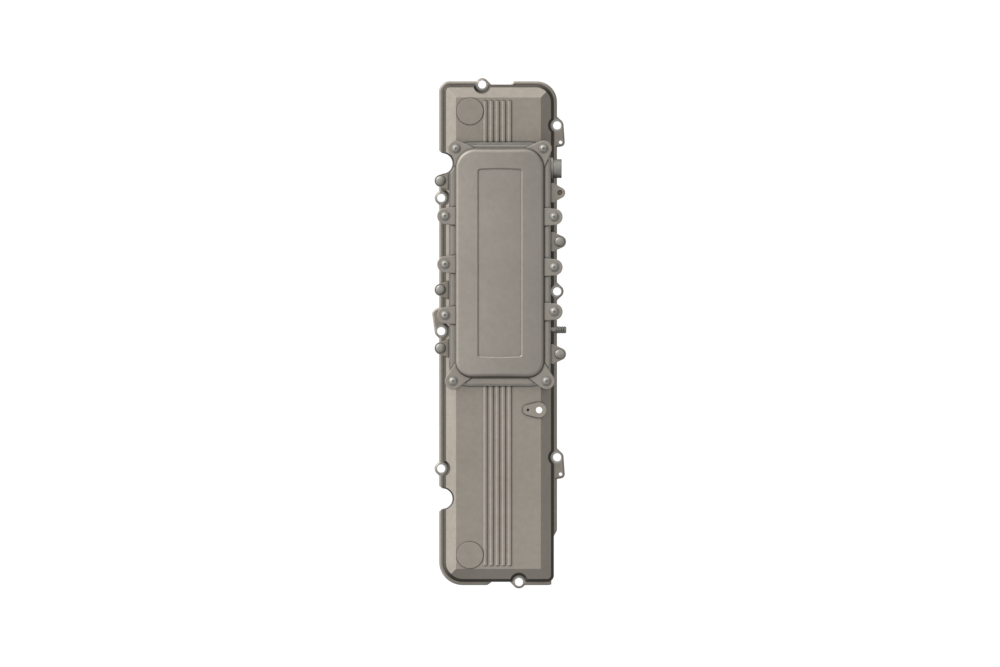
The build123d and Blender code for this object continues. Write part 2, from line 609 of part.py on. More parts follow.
def lid_recess():
    """The recess in the crown: its sides are drafted and its floor follows the crown."""
    length = LID_FRONT - LID_REAR - 2 * RECESS_END_MARGIN
    mouth = RectangleRounded(RECESS_WIDTH, length, RECESS_CORNER)
    cut = extrude(mouth, amount=2 * RECESS_DEPTH, taper=RECESS_DRAFT)
    return Pos(RIM_X, LID_MIDDLE, LID_TOP) * Rot(180, 0, 0) * cut - lid_crown(RECESS_DEPTH)


def breather_lid():
    dome = lid_dome(0)
    dome = fillet(dome.faces().sort_by(Axis.Z)[-1].edges(), LID_EDGE_ROUNDING)
    ears = [prism(ear_outline(place), LID_BASE, EAR_TOP) for place in LID_SCREWS]
    seats = [prism(ear_outline(place) - rim_outline(-LID_GASKET), RIM, LID_BASE) for place in SIDE_EARS]
    lid = dome + ([prism(lid_flange_outline(), LID_BASE, LID_BASE + LID_FLANGE)] + ears + seats)
    shank = SCREW_SHANK + SCREW_CLEARANCE
    holes = [tapped(place, shank, RIM - PAST, EAR_TOP + PAST) for place in LID_SCREWS]
    return lid - [lid_dome(LID_WALL), lid_recess(), notch(NOTCHES[0]), *holes]


def lid_gasket():
    """A flat ring along the rim. The side ears stand on their columns beside it."""
    ring = prism(rim_outline(0) - lid_outline(LID_WALL), RIM, LID_BASE)
    shank = SCREW_SHANK + SCREW_CLEARANCE
    holes = [tapped(place, shank, RIM - PAST, LID_BASE + PAST) for place in CORNER_EARS]
    return ring - [notch(NOTCHES[0]), *holes]


# ---------------------------------------------------------------- screws and plugs


def button(place, seat, foot, top, height):
    """A low conical head with sixteen sides."""
    slope = degrees(atan2(foot - top, height))
    return Pos(*place, seat) * extrude(RegularPolygon(foot, HEAD_SIDES), amount=height, taper=slope)


def lid_screw(place):
    """A round-headed screw through an ear into its column."""
    head = button(place, EAR_TOP, LID_SCREW_HEAD, LID_SCREW_TOP, LID_SCREW_HEAD_HEIGHT)
    return head + tapped(place, SCREW_SHANK, EAR_TOP - LID_SCREW_LENGTH, EAR_TOP)


def baffle_screw(place):
    """A hexagon screw from below."""
    seat = BAFFLE_HEIGHT - BAFFLE_THICKNESS
    head = extrude(RegularPolygon(BAFFLE_HEAD, 6), amount=BAFFLE_HEAD_HEIGHT)
    shank = tapped(place, BAFFLE_SHANK, seat, seat + BAFFLE_SCREW_LENGTH)
    return Pos(*place, seat - BAFFLE_HEAD_HEIGHT) * head + shank


def side_plug(place):
    """A round-headed plug whose shank fills the hole of a side boss."""
    head = button(place, BOSS_TOP, PLUG_HEAD, PLUG_TOP, PLUG_RISE)
    return head + tapped(place, BOSS_HOLE - PLUG_CLEARANCE, BOSS_TOP - PLUG_SHANK_LENGTH, BOSS_TOP)


# ---------------------------------------------------------------- pipes


def breather_outlet_tube():
    """A stub pressed in as far as a small shoulder, which stops against the collar."""
    inner = OUTLET_RADIUS - OUTLET_WALL
    pressed = OUTLET_RADIUS - OUTLET_SHOULDER
    shoulder = CHAMBER_WALL + OUTLET_COLLAR_REACH
    end = CHAMBER_WALL + OUTLET_REACH
    points = [
        (0, inner),
        (0, pressed),
        (shoulder, pressed),
        (shoulder, OUTLET_RADIUS),
        (end - OUTLET_CHAMFER, OUTLET_RADIUS),
        (end, OUTLET_RADIUS - OUTLET_CHAMFER),
        (end, inner),
    ]
    profile = make_face(Polyline([(x, 0, radius) for x, radius in points], close=True))
    return Pos(RIM_RIGHT - CHAMBER_WALL, OUTLET_Y, PIPE_HEIGHT) * revolve(profile, Axis.X)


def hose_nipple():
    """A small barbed nipple, drawn with sixteen sides."""
    neck_end = CHAMBER_WALL + NIPPLE_NECK_LENGTH
    end = neck_end + NIPPLE_BARBS * NIPPLE_BARB_PITCH
    slope = degrees(atan2(NIPPLE_BARB - NIPPLE_BARB_ROOT, NIPPLE_BARB_PITCH))
    barb = extrude(RegularPolygon(NIPPLE_BARB, HEAD_SIDES), amount=NIPPLE_BARB_PITCH, taper=slope)
    nipple = prism(RegularPolygon(NIPPLE_NECK, HEAD_SIDES), 0, neck_end)
    for i in range(NIPPLE_BARBS):
        nipple += Pos(0, 0, neck_end + i * NIPPLE_BARB_PITCH) * barb
    nipple -= prism(RegularPolygon(NIPPLE_BORE, HEAD_SIDES), -PAST, end + PAST)
    return Pos(RIM_RIGHT - CHAMBER_WALL, NIPPLE_Y, PIPE_HEIGHT) * Rot(0, 90, 0) * nipple


# ---------------------------------------------------------------- seal, baffle and separator


def cover_gasket():
    ring = cavity_outline(SEAL_OFFSET + SEAL_WIDTH) - cavity_outline(SEAL_OFFSET)
    return prism(ring, 0, SEAL_HEIGHT)


def baffle_plate():
    bottom, top = BAFFLE_HEIGHT - BAFFLE_THICKNESS, BAFFLE_HEIGHT
    middle = (RIM_FRONT + RIM_REAR) / 2
    inside = body_outline(WALL + BAFFLE_GAP, BAFFLE_HEIGHT)
    face = inside & Pos(0, middle) * Rectangle(BODY_WIDTH, CHAMBER_LENGTH)
    plate = prism(face, bottom, top)
    faces = [Pos(*place) * octagon(radius + BAFFLE_GAP) for place, radius in BULGES]
    shank = BAFFLE_SHANK + SCREW_CLEARANCE
    faces += [Pos(*place) * RegularPolygon(shank, SHANK_SIDES) for place in BAFFLE_SCREWS]
    faces.append(Pos(0, DRAIN_Y) * octagon(DRAIN_RADIUS + PRESS_GAP))
    for i in range(INLET_COUNT):
        x = (i - (INLET_COUNT - 1) / 2) * INLET_PITCH
        faces.append(Pos(x, INLET_Y) * Rectangle(INLET_WIDTH, INLET_LENGTH))
    return plate - [prism(face, bottom - PAST, top + PAST) for face in faces]


def separator_frame(y, side):
    """A slotted sheet that stands on the baffle plate on a folded foot, in front of the pack or behind it."""
    upright = Box(2 * SEPARATOR_HALF, FRAME_THICKNESS, SEPARATOR_HEIGHT, align=STANDING)
    foot = Box(2 * SEPARATOR_HALF, FRAME_FOOT, FRAME_THICKNESS, align=STANDING)
    foot = Pos(0, side * FRAME_FOOT / 2, 0) * foot
    pitch = 2 * SEPARATOR_HALF / (GRILLE_SLOTS + 1)
    slot = Box(GRILLE_SLOT_WIDTH, 3 * FRAME_THICKNESS, SEPARATOR_HEIGHT - 2 * GRILLE_MARGIN, align=STANDING)
    slots = []
    for i in range(GRILLE_SLOTS):
        slots.append(Pos((i - (GRILLE_SLOTS - 1) / 2) * pitch, 0, GRILLE_MARGIN) * slot)
    return Pos(0, y, BAFFLE_HEIGHT) * (upright + foot - slots)


def separator_pack():
    length = SEPARATOR_LENGTH - FRAME_THICKNESS - 2 * PACK_GAP
    width = 2 * (SEPARATOR_HALF - PACK_EDGE_GAP)
    pack = Box(width, length, SEPARATOR_HEIGHT - PACK_EDGE_GAP, align=STANDING)
    return Pos(0, SEPARATOR_Y, BAFFLE_HEIGHT) * pack


def drain_ring(radius, inner, bottom, top):
    """A ring of the oil drain, plain with eight sides, between two depths below the baffle plate's top."""
    face = octagon(radius) - octagon(inner)
    return Pos(0, DRAIN_Y, BAFFLE_HEIGHT) * prism(face, bottom, top)


def oil_drain_tube():
    """A flanged tube through the baffle plate, with its flange on top."""
    inner = DRAIN_RADIUS - DRAIN_WALL
    return drain_ring(DRAIN_RADIUS, inner, -DRAIN_LENGTH, 0) + drain_ring(DRAIN_FLANGE, inner, 0, DRAIN_WALL)


def drain_valve():
    """A rubber bill that closes the lower end of the drain tube."""
    sleeve_inner = DRAIN_RADIUS + PRESS_GAP
    sleeve_outer = sleeve_inner + VALVE_THICKNESS
    end = -DRAIN_LENGTH - PRESS_GAP
    sleeve = drain_ring(sleeve_outer, sleeve_inner, end, VALVE_SLEEVE - DRAIN_LENGTH)
    slope = degrees(atan2(sleeve_outer - VALVE_LIP, VALVE_BILL))
    bill = Rot(180, 0, 0) * extrude(octagon(sleeve_outer), amount=VALVE_BILL, taper=slope)
    return sleeve + Pos(0, DRAIN_Y, BAFFLE_HEIGHT + end) * bill


# ---------------------------------------------------------------- files

pieces = {
    "cover_casting": cover_casting(),
    "cover_gasket": cover_gasket(),
    "breather_lid": breather_lid(),
    "lid_gasket": lid_gasket(),
    "breather_outlet_tube": breather_outlet_tube(),
    "hose_nipple": hose_nipple(),
    "baffle_plate": baffle_plate(),
    "separator_frame_front": separator_frame(SEPARATOR_Y + SEPARATOR_LENGTH / 2, 1),
    "separator_frame_rear": separator_frame(SEPARATOR_Y - SEPARATOR_LENGTH / 2, -1),
    "separator_pack": separator_pack(),
    "oil_drain_tube": oil_drain_tube(),
    "drain_valve": drain_valve(),
}
pieces |= {f"lid_screw_{i + 1}": lid_screw(place) for i, place in enumerate(LID_SCREWS)}
pieces |= {f"side_plug_{i + 1}": side_plug(place) for i, place in enumerate(PLUGGED_BOSSES)}
pieces |= {f"baffle_screw_{i + 1}": baffle_screw(place) for i, place in enumerate(BAFFLE_SCREWS)}

for name, piece in pieces.items():
    export_step(piece, f"parts/{name}.step")
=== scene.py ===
import json
from math import cos, pi, radians, sin

import bmesh
import bpy
from mathutils import Matrix, Vector


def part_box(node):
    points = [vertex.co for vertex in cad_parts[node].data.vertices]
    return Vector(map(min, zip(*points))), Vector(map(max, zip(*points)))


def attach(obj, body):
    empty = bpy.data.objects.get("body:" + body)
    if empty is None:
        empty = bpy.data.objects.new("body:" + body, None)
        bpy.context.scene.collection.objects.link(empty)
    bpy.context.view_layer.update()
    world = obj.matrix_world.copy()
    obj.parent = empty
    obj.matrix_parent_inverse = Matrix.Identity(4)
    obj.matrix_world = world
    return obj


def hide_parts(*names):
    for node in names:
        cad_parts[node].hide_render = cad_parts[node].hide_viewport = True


# A cast cover for a diesel engine's cylinder head, with the crankcase breather on its roof.
# Lengths are in metres. X runs across the engine, Y along it to the front, and Z up.

MM = 0.001
BODY = "root"

# ------------------------------------------------------------------ the frame

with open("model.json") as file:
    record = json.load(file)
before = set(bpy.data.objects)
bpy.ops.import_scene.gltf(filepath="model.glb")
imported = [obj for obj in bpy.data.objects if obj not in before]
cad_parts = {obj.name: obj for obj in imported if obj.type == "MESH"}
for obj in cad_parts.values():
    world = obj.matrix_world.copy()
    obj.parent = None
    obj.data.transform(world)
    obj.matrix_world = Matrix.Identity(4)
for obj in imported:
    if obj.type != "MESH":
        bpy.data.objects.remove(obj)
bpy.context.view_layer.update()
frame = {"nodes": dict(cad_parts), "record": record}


def middle(node):
    """The middle of a node's box."""
    low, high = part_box(node)
    return (low + high) / 2


# ------------------------------------------------------------------ sizes

# Turned pieces: how many steps go round, and how many make a dome, a rounded corner or a washer's edge
ROUND_STEPS = 64
DOME_STEPS = 10
CORNER_STEPS = 5
WASHER_STEPS = 3
SHARP_ANGLE = radians(32)
MERGE_DISTANCE = 0.001 * MM
MARGIN = 0.01 * MM

# Lid screws, with a flange under a low dome and a hexagon socket
SCREW_HEAD_RADIUS = 9.0 * MM
SCREW_HEAD_HEIGHT = 6.0 * MM
SCREW_FLANGE = 1.3 * MM
SCREW_DOME_RADIUS = 7.4 * MM
SCREW_SHANK = 3.9 * MM
SOCKET_RADIUS = 2.4 * MM
SOCKET_DEPTH = 1.6 * MM
SHANK_CHAMFER = 0.8 * MM

# Plugs of the side bosses
PLUG_HEAD_RADIUS = 9.6 * MM
PLUG_RISE = 4.6 * MM
PLUG_EDGE = 0.9 * MM
PLUG_SHANK = 5.1 * MM

# Screws of the baffle plate, with a washer face under a hexagon
BAFFLE_HEAD_RADIUS = 6.5 * MM
BAFFLE_HEAD_HEIGHT = 4.0 * MM
BAFFLE_WASHER = 1.0 * MM
BAFFLE_SHANK = 2.9 * MM
BAFFLE_HEAD_BEVEL = 0.7 * MM
BEVEL_STEPS = 2

# Hose nipple
NIPPLE_BORE = 3.2 * MM
NIPPLE_NECK = 5.2 * MM
NIPPLE_BARB = 7.4 * MM
NIPPLE_BARB_ROOT = 5.6 * MM
NIPPLE_BARBS = 4
NIPPLE_BARB_PITCH = 4.6 * MM

# Breather outlet
OUTLET_BORE = 16.0 * MM
OUTLET_PRESSED = 17.8 * MM
OUTLET_RADIUS = 18.4 * MM
OUTLET_PRESSED_LENGTH = 10.5 * MM
OUTLET_LIP = 1.1 * MM

# Thread in the side boss that has no plug
OPEN_BOSS = (120.43 * MM, 275.0 * MM)
THREAD_TOP = 90.0 * MM
THREAD_RADIUS = 5.3 * MM
THREAD_DEPTH = 0.7 * MM
THREAD_PITCH = 1.5 * MM
THREAD_CLEARANCE = 0.05 * MM
COUNTERSINK = 1.0 * MM
THREAD_TURNS = 12

# Camera: the ground that one image width covers, and the image's middle
VIEW_WIDTH = 1.9585
VIEW_X = 2.98 * MM
VIEW_Y = -0.6 * MM
CAMERA_HEIGHT = 3.0

# Light: one wide lamp without shadows, with its direction and width in degrees, and an even sky
KEY_STRENGTH = 5.1
KEY_AZIMUTH = 137
KEY_ELEVATION = 15
KEY_WIDTH = 30
SKY_LIGHT = 0.57

# Floor: its size, the grey that takes the shadow, and the glow that shows it white
FLOOR_SIZE = 14.0
FLOOR_GREY = (0.2, 0.2, 0.2, 1)
FLOOR_ROUGHNESS = 0.9
FLOOR_GLOW = 0.9

# The casting's milled faces: the sealing face, and the seats on the flange round the mounting holes
FLANGE_BOTTOM = 1.6 * MM
FLANGE_TOP = 13.6 * MM
LEVEL_MARGIN = 0.15 * MM
SEAT_RADIUS = 12.0 * MM
MOUNT_HOLES = [
    (-112.4 * MM, 265.0 * MM),
    (-112.4 * MM, 4.1 * MM),
    (-112.4 * MM, -265.0 * MM),
    (114.8 * MM, 407.0 * MM),
    (114.8 * MM, 82.0 * MM),
    (114.8 * MM, -243.0 * MM),
    (-32.1 * MM, 487.2 * MM),
    (40.0 * MM, -487.2 * MM),
]

# ------------------------------------------------------------------ values of the finishes

# Patterns, each as its scale, its octaves and how rough they are
STAIN = (7.0, 5.0, 0.55)
MOTTLE = (90.0, 6.0, 0.65)
WEAR = (60.0, 4.0, 0.55)
BLAST_GRAIN = (1400.0, 3.0, 0.7)
SKIN_SWELL = (160.0, 3.0, 0.55)
PLATING_TONE = (120.0, 4.0, 0.55)
TURNING_MARKS = (500.0, 4.0, 0.6)
RUBBER_BLOOM = (80.0, 5.0, 0.55)
RUBBER_GRAIN = (900.0, 4.0, 0.55)

# Depths of the patterns, and the radii that round the edges
BLAST_DEPTH = 0.12 * MM
SWELL_DEPTH = 0.20 * MM
MARK_DEPTH = 0.04 * MM
RUBBER_DEPTH = 0.05 * MM
CAST_ROUNDING = 1.2 * MM
EAR_ROUNDING = 3.0 * MM
CROWN_ROUNDING = 0.3 * MM
TURNED_ROUNDING = 0.4 * MM

# The lid's ears, above its underside, and the heights over them between which the rounding turns tight
EAR_HEIGHT = 9.0 * MM
EAR_BLEND = (1.0 * MM, 3.0 * MM)

# Bare metal: no clear film on it, and dark where it is seen edge-on
METAL_SPECULAR = 0.0
METAL_EDGE_TINT = (0.2, 0.2, 0.2, 1.0)

# Cast metal: roughness from and to, how much smoother and what colour it is where milled, and the
# least and most bright metal that shows on an edge
CAST_METALLIC = 0.2
CAST_ROUGHNESS = (0.44, 0.54)
MILLED_POLISH = 0.18
MILLED_COLOUR = (0.37, 0.355, 0.33)
EDGE_COLOUR = (0.58, 0.56, 0.52)
EDGE_WEAR = (0.05, 0.3)

# An edge counts in full where the rounded normal leaves the flat one by the first cosine, and not at
# all past the second
EDGE_FULL = 0.80
EDGE_NONE = 0.985

# Painted shade in inner corners: how far it reaches, its darkest factor, and how open a place is where it
# is darkest and where it ends
HOLLOW = {"reach": 5.0 * MM, "darkest": 0.2, "closed": 0.4, "open_from": 0.92}
CREASE = {"reach": 2.0 * MM, "darkest": 0.5, "closed": 0.62, "open_from": 0.97}
TURNED_HOLLOW = {"reach": 3.0 * MM, "darkest": 0.2, "closed": 0.4, "open_from": 0.92}

# Painted shade on steep faces: how much darker they get, and how upright a normal is where a face counts
# as steep in full and where it counts as level
WALL_SHADE = 0.68
TUBE_SHADE = 0.75
HEAD_SHADE = 0.3
STEEP_FULL = 0.12
CAST_LEVEL = 0.56
TURNED_LEVEL = 0.85

# Roughness: how far turned metal goes below and above its own value, and rubber from and to
MARK_ROUGHNESS = (-0.05, 0.08)
RUBBER_ROUGHNESS = (0.55, 0.72)

# Packed wire: the scale and reach of its crimps, the strands, and their look
CRIMP_SCALE = 60.0
CRIMP_REACH = 0.02
STRAND_SCALE = 260.0
STRAND_BEND = 9.0
STRAND_DETAIL = 3.0
STRAND_DEPTH = 0.4 * MM
STRAND_METALLIC = 0.9
STRAND_ROUGHNESS = (0.35, 0.6)

SHADER_SAMPLES = 8

# ------------------------------------------------------------------ tools for materials


def add(tree, kind, **inputs):
    """A shader node of a kind. Its settings and its inputs are given by name, with _ for a space."""
    node = tree.nodes.new("ShaderNode" + kind)
    for name, value in inputs.items():
        if hasattr(node, name):
            setattr(node, name, value)
        else:
            socket = node.inputs[name.replace("_", " ")]
            if hasattr(value, "links"):
                tree.links.new(value, socket)
            else:
                socket.default_value = value
    return node


def new_material(name):
    """An empty material with its tree, its output's surface socket filled later."""
    material = bpy.data.materials.new(name)
    material.use_nodes = True
    material.node_tree.nodes.clear()
    return material, material.node_tree


def close_material(tree, shader):
    """Joins a finished shader to a new output."""
    output = add(tree, "OutputMaterial")
    tree.links.new(shader.outputs["BSDF"], output.inputs["Surface"])


def object_point(tree):
    """The place on the object, which all patterns follow."""
    return add(tree, "TexCoord").outputs["Object"]


def noise(tree, point, scale, detail, roughness):
    """An uneven pattern around 0.5."""
    node = add(tree, "TexNoise", Vector=point, Scale=scale, Detail=detail, Roughness=roughness)
    return node.outputs["Fac"]


def spread(tree, factor, low, high, start=0.35, end=0.65):
    """A factor between two levels stretched to run from low to high."""
    node = add(tree, "MapRange", Value=factor)
    node.inputs["From Min"].default_value = start
    node.inputs["From Max"].default_value = end
    node.inputs["To Min"].default_value = low
    node.inputs["To Max"].default_value = high
    return node.outputs["Result"]


def tint(tree, factor, first, second):
    """A colour between two, by a factor."""
    node = add(tree, "Mix", data_type="RGBA")
    tree.links.new(factor, node.inputs["Factor"])
    colour_sockets = [socket for socket in node.inputs if socket.type == "RGBA"]
    for socket, colour in zip(colour_sockets, (first, second)):
        if hasattr(colour, "links"):
            tree.links.new(colour, socket)
        else:
            socket.default_value = (*colour, 1)
    return next(socket for socket in node.outputs if socket.type == "RGBA")


def rounded_normal(tree, radius):
    """The surface's normal with every edge rounded to a radius."""
    return add(tree, "Bevel", samples=SHADER_SAMPLES, Radius=radius).outputs["Normal"]


def edge_factor(tree, normal):
    """How far the rounded normal leaves the flat one: 0 on a face and 1 on an edge."""
    flat = add(tree, "NewGeometry").outputs["Normal"]
    dot = add(tree, "VectorMath", operation="DOT_PRODUCT")
    tree.links.new(flat, dot.inputs[0])
    tree.links.new(normal, dot.inputs[1])
    return spread(tree, dot.outputs["Value"], 1.0, 0.0, EDGE_FULL, EDGE_NONE)


def calculate(tree, operation, first, second):
    """A Math node on two values, each a number or another node's output."""
    node = add(tree, "Math", operation=operation)
    for socket, value in zip(node.inputs, (first, second)):
        if hasattr(value, "links"):
            tree.links.new(value, socket)
        else:
            socket.default_value = value
    return node.outputs[0]


def corner_shade(tree, reach, darkest, closed, open_from):
    """1 in the open and darker in inner corners: painted shade."""
    cover = add(tree, "AmbientOcclusion", samples=SHADER_SAMPLES, Distance=reach)
    return spread(tree, cover.outputs["AO"], darkest, 1.0, closed, open_from)


def painted_wall_shade(tree, share, level_from):
    """1 on every face that looks up, and less by a share on steep walls: painted shade."""
    split = add(tree, "SeparateXYZ", Vector=add(tree, "NewGeometry").outputs["Normal"])
    upright = calculate(tree, "ABSOLUTE", split.outputs["Z"], 0.0)
    steep = spread(tree, upright, 1.0, 0.0, STEEP_FULL, level_from)
    return calculate(tree, "SUBTRACT", 1.0, calculate(tree, "MULTIPLY", steep, share))


def darken(tree, colour, factor):
    """A colour made darker by a factor."""
    node = add(tree, "VectorMath", operation="SCALE")
    tree.links.new(colour, node.inputs[0])
    tree.links.new(factor, node.inputs["Scale"])
    return node.outputs[0]


def seen_directly(tree):
    """1 for what the camera sees straight, mirrored or through glass, and 0 for light on the object."""
    path = add(tree, "LightPath")
    seen = calculate(tree, "MAXIMUM", path.outputs["Is Camera Ray"], path.outputs["Is Glossy Ray"])
    return calculate(tree, "MAXIMUM", seen, path.outputs["Is Transmission Ray"])


def grain(tree, height, normal, depth):
    """A bump of some depth over a normal."""
    node = add(tree, "Bump", Height=height, Strength=1.0, Distance=depth)
    if normal is not None:
        tree.links.new(normal, node.inputs["Normal"])
    return node.outputs["Normal"]


# ------------------------------------------------------------------ materials


def at_level(tree, height, level):
    """1 at a level, give or take a small margin, and 0 elsewhere."""
    found = calculate(tree, "COMPARE", height, level)
    found.node.inputs[2].default_value = LEVEL_MARGIN
    return found


def machined_places(tree, point):
    """1 on the milled seats of the mounting holes and on the milled sealing face, and 0 on the cast skin."""
    split = add(tree, "SeparateXYZ", Vector=point)
    height = split.outputs["Z"]
    on_flange = at_level(tree, height, FLANGE_TOP)
    flat = add(tree, "CombineXYZ", X=split.outputs["X"], Y=split.outputs["Y"]).outputs["Vector"]
    nearest = None
    for place in MOUNT_HOLES:
        distance = add(tree, "VectorMath", operation="DISTANCE")
        tree.links.new(flat, distance.inputs[0])
        distance.inputs[1].default_value = (*place, 0)
        reach = distance.outputs["Value"]
        nearest = reach if nearest is None else calculate(tree, "MINIMUM", nearest, reach)
    seats = calculate(tree, "MULTIPLY", on_flange, calculate(tree, "LESS_THAN", nearest, SEAT_RADIUS))
    return calculate(tree, "MAXIMUM", seats, at_level(tree, height, FLANGE_BOTTOM))


def lid_rounding(tree, point):
    """The radius that rounds the lid's edges: wide on the ears and its flange, and tight on the crown."""
    height = add(tree, "SeparateXYZ", Vector=point).outputs["Z"]
    ear_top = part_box("breather_lid")[0].z + EAR_HEIGHT
    start, end = (ear_top + rise for rise in EAR_BLEND)
    return spread(tree, height, EAR_ROUNDING, CROWN_ROUNDING, start, end)


def cast_metal(name, dark, light, rounding, milled=False):
    """Blasted cast aluminium: a mottled skin, fine grain, brighter worn edges, and painted shade in its
    inner corners and on its steep walls.

    The rounding is the edges' radius, or a function of the tree and the point that gives it.
    """
    material, tree = new_material(name)
    point = object_point(tree)
    stain = spread(tree, noise(tree, point, *STAIN), 0.0, 0.5)
    mottle = spread(tree, noise(tree, point, *MOTTLE), 0.0, 0.5)
    colour = tint(tree, calculate(tree, "ADD", stain, mottle), dark, light)
    normal = rounded_normal(tree, rounding(tree, point) if callable(rounding) else rounding)
    wear = spread(tree, noise(tree, point, *WEAR), *EDGE_WEAR)
    worn = calculate(tree, "MULTIPLY", edge_factor(tree, normal), wear)
    colour = tint(tree, worn, colour, EDGE_COLOUR)
    roughness = spread(tree, mottle, *CAST_ROUGHNESS, 0.0, 0.5)
    swollen = grain(tree, noise(tree, point, *SKIN_SWELL), normal, SWELL_DEPTH)
    blasted = grain(tree, noise(tree, point, *BLAST_GRAIN), swollen, BLAST_DEPTH)
    if milled:
        milled_face = machined_places(tree, point)
        colour = tint(tree, milled_face, colour, MILLED_COLOUR)
        polish = calculate(tree, "MULTIPLY", milled_face, MILLED_POLISH)
        roughness = calculate(tree, "SUBTRACT", roughness, polish)
    # Painted shade: darker colour and less metal in inner corners and on steep walls
    painted_corner_shade = calculate(tree, "MULTIPLY", corner_shade(tree, **HOLLOW), corner_shade(tree, **CREASE))
    shade = calculate(tree, "MULTIPLY", painted_corner_shade, painted_wall_shade(tree, WALL_SHADE, CAST_LEVEL))
    shader = add(
        tree,
        "BsdfPrincipled",
        Base_Color=darken(tree, colour, shade),
        Metallic=calculate(tree, "MULTIPLY", shade, CAST_METALLIC),
        Specular_IOR_Level=METAL_SPECULAR,
        Specular_Tint=METAL_EDGE_TINT,
        Roughness=roughness,
        Normal=blasted,
    )
    close_material(tree, shader)
    return material


def turned_metal(name, dark, light, roughness, metallic, side_shade):
    """Plated or turned steel with fine marks, with painted shade in its hollows and, by a share, on its
    steep sides.
    """
    material, tree = new_material(name)
    point = object_point(tree)
    marks = noise(tree, point, *TURNING_MARKS)
    tone = spread(tree, noise(tree, point, *PLATING_TONE), 0.0, 1.0)
    # Painted shade: darker in hollows and on steep sides, which shades the tube's edges and the heads' rims
    side = painted_wall_shade(tree, side_shade, TURNED_LEVEL)
    shade = calculate(tree, "MULTIPLY", corner_shade(tree, **TURNED_HOLLOW), side)
    smoother, rougher = (roughness + change for change in MARK_ROUGHNESS)
    shader = add(
        tree,
        "BsdfPrincipled",
        Base_Color=darken(tree, tint(tree, tone, dark, light), shade),
        Metallic=calculate(tree, "MULTIPLY", shade, metallic),
        Specular_IOR_Level=METAL_SPECULAR,
        Specular_Tint=METAL_EDGE_TINT,
        Roughness=spread(tree, marks, smoother, rougher),
        Normal=grain(tree, marks, rounded_normal(tree, TURNED_ROUNDING), MARK_DEPTH),
    )
    close_material(tree, shader)
    return material


def moulded_rubber(name, dark, light):
    """Moulded rubber with a faint bloom."""
    material, tree = new_material(name)
    point = object_point(tree)
    bloom = spread(tree, noise(tree, point, *RUBBER_BLOOM), 0.0, 1.0)
    fine = noise(tree, point, *RUBBER_GRAIN)
    shader = add(
        tree,
        "BsdfPrincipled",
        Base_Color=tint(tree, bloom, dark, light),
        Roughness=spread(tree, bloom, *RUBBER_ROUGHNESS, 0.0, 1.0),
        Normal=grain(tree, fine, rounded_normal(tree, TURNED_ROUNDING), RUBBER_DEPTH),
    )
    close_material(tree, shader)
    return material


def packed_wire(name, dark, light):
    """Crimped wire, as fine crossing bright and dark strands."""
    material, tree = new_material(name)
    point = object_point(tree)
    swirl = add(tree, "VectorMath", operation="SCALE")
    tree.links.new(add(tree, "TexNoise", Vector=point, Scale=CRIMP_SCALE).outputs["Color"], swirl.inputs[0])
    swirl.inputs["Scale"].default_value = CRIMP_REACH
    bent = add(tree, "VectorMath", operation="ADD")
    tree.links.new(point, bent.inputs[0])
    tree.links.new(swirl.outputs[0], bent.inputs[1])
    bends = {"Scale": STRAND_SCALE, "Distortion": STRAND_BEND, "Detail": STRAND_DETAIL}
    strands = add(tree, "TexWave", Vector=bent.outputs[0], **bends).outputs["Fac"]
    shader = add(
        tree,
        "BsdfPrincipled",
        Base_Color=tint(tree, strands, dark, light),
        Metallic=STRAND_METALLIC,
        Roughness=spread(tree, strands, *STRAND_ROUGHNESS, 0.0, 1.0),
        Normal=grain(tree, strands, None, STRAND_DEPTH),
    )
    close_material(tree, shader)
    return material


casting_skin = cast_metal("casting_skin", (0.272, 0.246, 0.212), (0.322, 0.293, 0.256), CAST_ROUNDING, True)
lid_skin = cast_metal("lid_skin", (0.276, 0.253, 0.223), (0.320, 0.294, 0.261), lid_rounding)
zinc = turned_metal("zinc", (0.27, 0.26, 0.237), (0.34, 0.328, 0.302), 0.46, 0.3, HEAD_SHADE)
steel_tube = turned_metal("steel_tube", (0.24, 0.232, 0.214), (0.29, 0.28, 0.26), 0.30, 0.3, TUBE_SHADE)
steel_sheet = turned_metal("steel_sheet", (0.26, 0.26, 0.25), (0.36, 0.36, 0.35), 0.35, 0.6, 0.0)
rubber = moulded_rubber("black_rubber", (0.012, 0.012, 0.012), (0.035, 0.034, 0.032))
silicone = moulded_rubber("grey_silicone", (0.20, 0.19, 0.17), (0.25, 0.235, 0.215))
wire = packed_wire("packed_wire", (0.06, 0.06, 0.06), (0.48, 0.47, 0.45))

FINISHES = {
    "cast_aluminium": casting_skin,
    "lid_aluminium": lid_skin,
    "seal_rubber": rubber,
    "zinc_steel": zinc,
    "tube_steel": steel_tube,
    "sheet_steel": steel_sheet,
    "wire_wool": wire,
}


def dress_nodes():
    """Gives every node of the frame the finish of its slot, and the lid's seal its grey silicone."""
    slots = {entry["node"]: entry["material_slot"] for entry in frame["record"]["subparts"]}
    for name, node in frame["nodes"].items():
        node.data.materials.clear()
        node.data.materials.append(silicone if name == "lid_gasket" else FINISHES[slots[name]])


# ------------------------------------------------------------------ turned pieces


def arc(centre, radii, start, end, steps):
    """Points of an ellipse's arc in a profile, as (radius, height) pairs, from one angle to another."""
    turns = [start + (end - start) * i / steps for i in range(steps + 1)]
    return [(centre[0] + radii[0] * cos(t), centre[1] + radii[1] * sin(t)) for t in turns]


